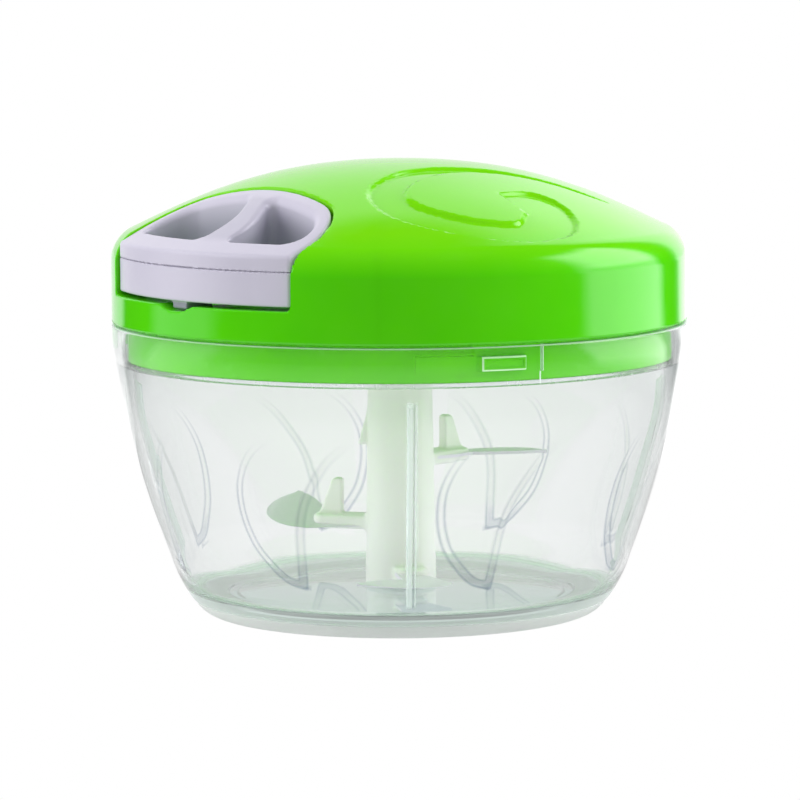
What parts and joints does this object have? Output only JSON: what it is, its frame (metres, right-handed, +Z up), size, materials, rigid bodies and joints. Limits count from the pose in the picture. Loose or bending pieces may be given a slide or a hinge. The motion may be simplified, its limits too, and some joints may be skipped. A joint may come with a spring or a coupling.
{
  "type": "pull-string food chopper",
  "caption": "Round food chopper with a clear tapered bowl, a domed green lid, a two-hole pull grip on a cord that spins a drum, and a central post with curved steel blades.",
  "frame": {"origin": "centre of the foot ring's underside, on the surface the chopper stands on", "axes": "+Z up along the post's axis, -Y the way the grip is pulled out of the lid"},
  "size_m": [0.125, 0.125, 0.0983],
  "materials": {
    "clear_plastic": "clear, polished",
    "foot_rubber": "frosted, slightly green",
    "seal_rubber": "milky, satin",
    "green_plastic": "glossy lime green",
    "lilac_plastic": "soft gloss, lilac grey",
    "milky_plastic": "milky, slightly green, satin",
    "white_plastic": "white, slippery, satin",
    "blade_steel": "fine-ground stainless steel",
    "screw_steel": "zinc-plated steel",
    "spring_steel": "blue-grey spring steel",
    "polished_steel": "polished stainless steel",
    "cord_nylon": "braided white nylon"
  },
  "bodies": {
    "bowl": {"bowl": "clear_plastic", "pivot_pin": "polished_steel", "nonslip_foot": "foot_rubber"},
    "seal": {"seal_ring": "seal_rubber"},
    "lid": {"lid_cover": "green_plastic", "lid_base": "green_plastic", "lid_screws": "screw_steel", "cord_eyelet": "polished_steel", "drum_axle": "white_plastic", "axle_screws": "screw_steel", "return_spring": "spring_steel", "thrust_washer": "white_plastic", "cord_feed": "cord_nylon"},
    "drum": {"cord_drum": "white_plastic", "spring_cover": "white_plastic", "spring_cover_screws": "screw_steel", "cord_winding": "cord_nylon", "drive_hub": "milky_plastic", "hub_screw": "screw_steel"},
    "handle": {"grip_top": "lilac_plastic", "grip_bottom": "lilac_plastic", "grip_screws": "screw_steel", "cord_lead": "cord_nylon", "cord_knot": "cord_nylon"},
    "blades": {"blade_post": "milky_plastic", "lower_blade": "blade_steel", "middle_blade": "blade_steel", "upper_blade": "blade_steel"}
  },
  "joints": [
    {"name": "lid_lift", "type": "slide", "parent": "bowl", "child": "seal", "axis": [0, 0, 1], "range_m": [0, 0.2]},
    {"name": "lid_turn", "type": "hinge", "parent": "seal", "child": "lid", "pos_m": [0, 0, 0.06], "axis": [0, 0, 1], "range_deg": [-13, 0]},
    {"name": "handle_pull", "type": "slide", "parent": "lid", "child": "handle", "axis": [0, -1, 0], "range_m": [0, 0.55], "stiffness_N_per_m": 20, "springref_m": -0.2},
    {"name": "drum_spin", "type": "hinge", "parent": "lid", "child": "drum", "pos_m": [0, 0, 0.07], "axis": [0, 0, 1], "range_deg": [0, 1510]},
    {"name": "blade_lift", "type": "slide", "parent": "drum", "child": "blades", "axis": [0, 0, 1], "range_m": [-0.1, 0]}
  ],
  "couplings": [
    {"joint": "drum_spin", "follows": "handle_pull", "rad_per_m": 47.619},
    {"joint": "blade_lift", "follows": "lid_lift", "ratio": -0.5}
  ]
}
